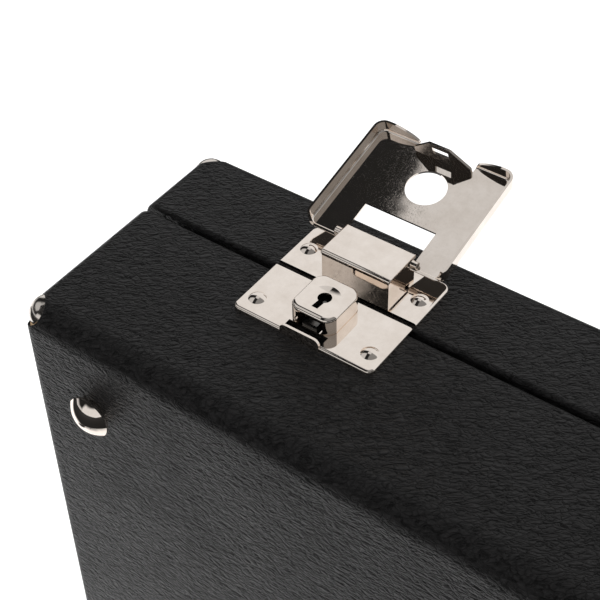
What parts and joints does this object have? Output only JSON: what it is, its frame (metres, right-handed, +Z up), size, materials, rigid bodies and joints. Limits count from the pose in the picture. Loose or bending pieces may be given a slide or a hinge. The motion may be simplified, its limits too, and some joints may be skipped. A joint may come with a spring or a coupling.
{
  "type": "recorder case",
  "caption": "Hard case for a recorder: leathercloth over wood, hinged lid, key-lock latches with flaps, carrying handle, foot studs and a padded fitted bed.",
  "frame": {"origin": "bottom centre of the whole object's box, where the spine studs stand on the floor", "axes": "+X along the case, +Y from the base bottom towards the lid, +Z up from the spine to the latch face"},
  "size_m": [0.5624, 0.124, 0.2545],
  "materials": {
    "leathercloth": "black leathercloth, semi-matt, fine embossed grain",
    "grip_leather": "black, smooth, semi-matt",
    "wood": "plywood, unfinished, stained black round the locks",
    "nickel": "polished nickel plate, slightly warm",
    "satin_nickel": "satin nickel",
    "steel": "blackened steel",
    "black_plastic": "matt black",
    "plush": "short-pile plush over foam, wine red"
  },
  "bodies": {
    "base": {"base_corner_caps": "satin_nickel", "base_covering": "leathercloth", "base_hinge_rivets": "nickel", "base_latch_board": "wood", "base_left_board": "wood", "base_panel": "wood", "base_plate_rivets": "nickel", "base_right_board": "wood", "base_spine_board": "wood", "base_spine_studs": "nickel", "base_studs": "nickel", "base_wall_pads": "plush", "bed_floor": "plush", "bolt_guides": "steel", "compartment_walls": "plush", "foot_joint_cradles": "plush", "handle_pins": "nickel", "handle_rivets": "nickel", "head_joint_cradles": "plush", "hinge_pins": "steel", "key_posts": "steel", "left_base_plate": "nickel", "left_handle_bracket": "nickel", "left_hinge_base_leaf": "nickel", "left_lock_box": "nickel", "middle_joint_cradles": "plush", "right_base_plate": "nickel", "right_handle_bracket": "nickel", "right_hinge_base_leaf": "nickel", "right_lock_box": "nickel", "seam_tongues": "black_plastic", "trough_dividers": "plush"},
    "lid": {"left_bridge": "nickel", "left_flap_pin": "steel", "left_hinge_lid_leaf": "nickel", "left_lid_plate": "nickel", "lid_corner_caps": "satin_nickel", "lid_covering": "leathercloth", "lid_hinge_rivets": "nickel", "lid_latch_board": "wood", "lid_left_board": "wood", "lid_pad": "plush", "lid_panel": "wood", "lid_plate_rivets": "nickel", "lid_right_board": "wood", "lid_spine_board": "wood", "lid_spine_studs": "nickel", "lid_wall_pads": "plush", "right_bridge": "nickel", "right_flap_pin": "steel", "right_hinge_lid_leaf": "nickel", "right_lid_plate": "nickel"},
    "left_flap": {"left_flap": "nickel"},
    "right_flap": {"right_flap": "nickel"},
    "left_bolt": {"left_bolt": "steel"},
    "right_bolt": {"right_bolt": "steel"},
    "handle": {"handle_rod": "nickel", "handle_grip": "grip_leather", "grip_ferrules": "nickel"}
  },
  "joints": [
    {"name": "lid_hinge", "type": "hinge", "parent": "base", "child": "lid", "pos_m": [0, 0.00219, 0.004], "axis": [-1, 0, 0], "range_deg": [0, 105]},
    {"name": "handle_swing", "type": "hinge", "parent": "base", "child": "handle", "pos_m": [0, -0.01131, 0.2374], "axis": [-1, 0, 0], "range_deg": [0, 177.4]},
    {"name": "left_flap_hinge", "type": "hinge", "parent": "lid", "child": "left_flap", "pos_m": [-0.2012, 0.02069, 0.2379], "axis": [1, 0, 0], "range_deg": [0, 165.8]},
    {"name": "left_bolt_slide", "type": "slide", "parent": "base", "child": "left_bolt", "axis": [0, -1, 0], "range_m": [0, 0.0043]},
    {"name": "right_flap_hinge", "type": "hinge", "parent": "lid", "child": "right_flap", "pos_m": [0.2012, 0.02069, 0.2379], "axis": [1, 0, 0], "range_deg": [0, 165.8]},
    {"name": "right_bolt_slide", "type": "slide", "parent": "base", "child": "right_bolt", "axis": [0, -1, 0], "range_m": [0, 0.0043]}
  ]
}
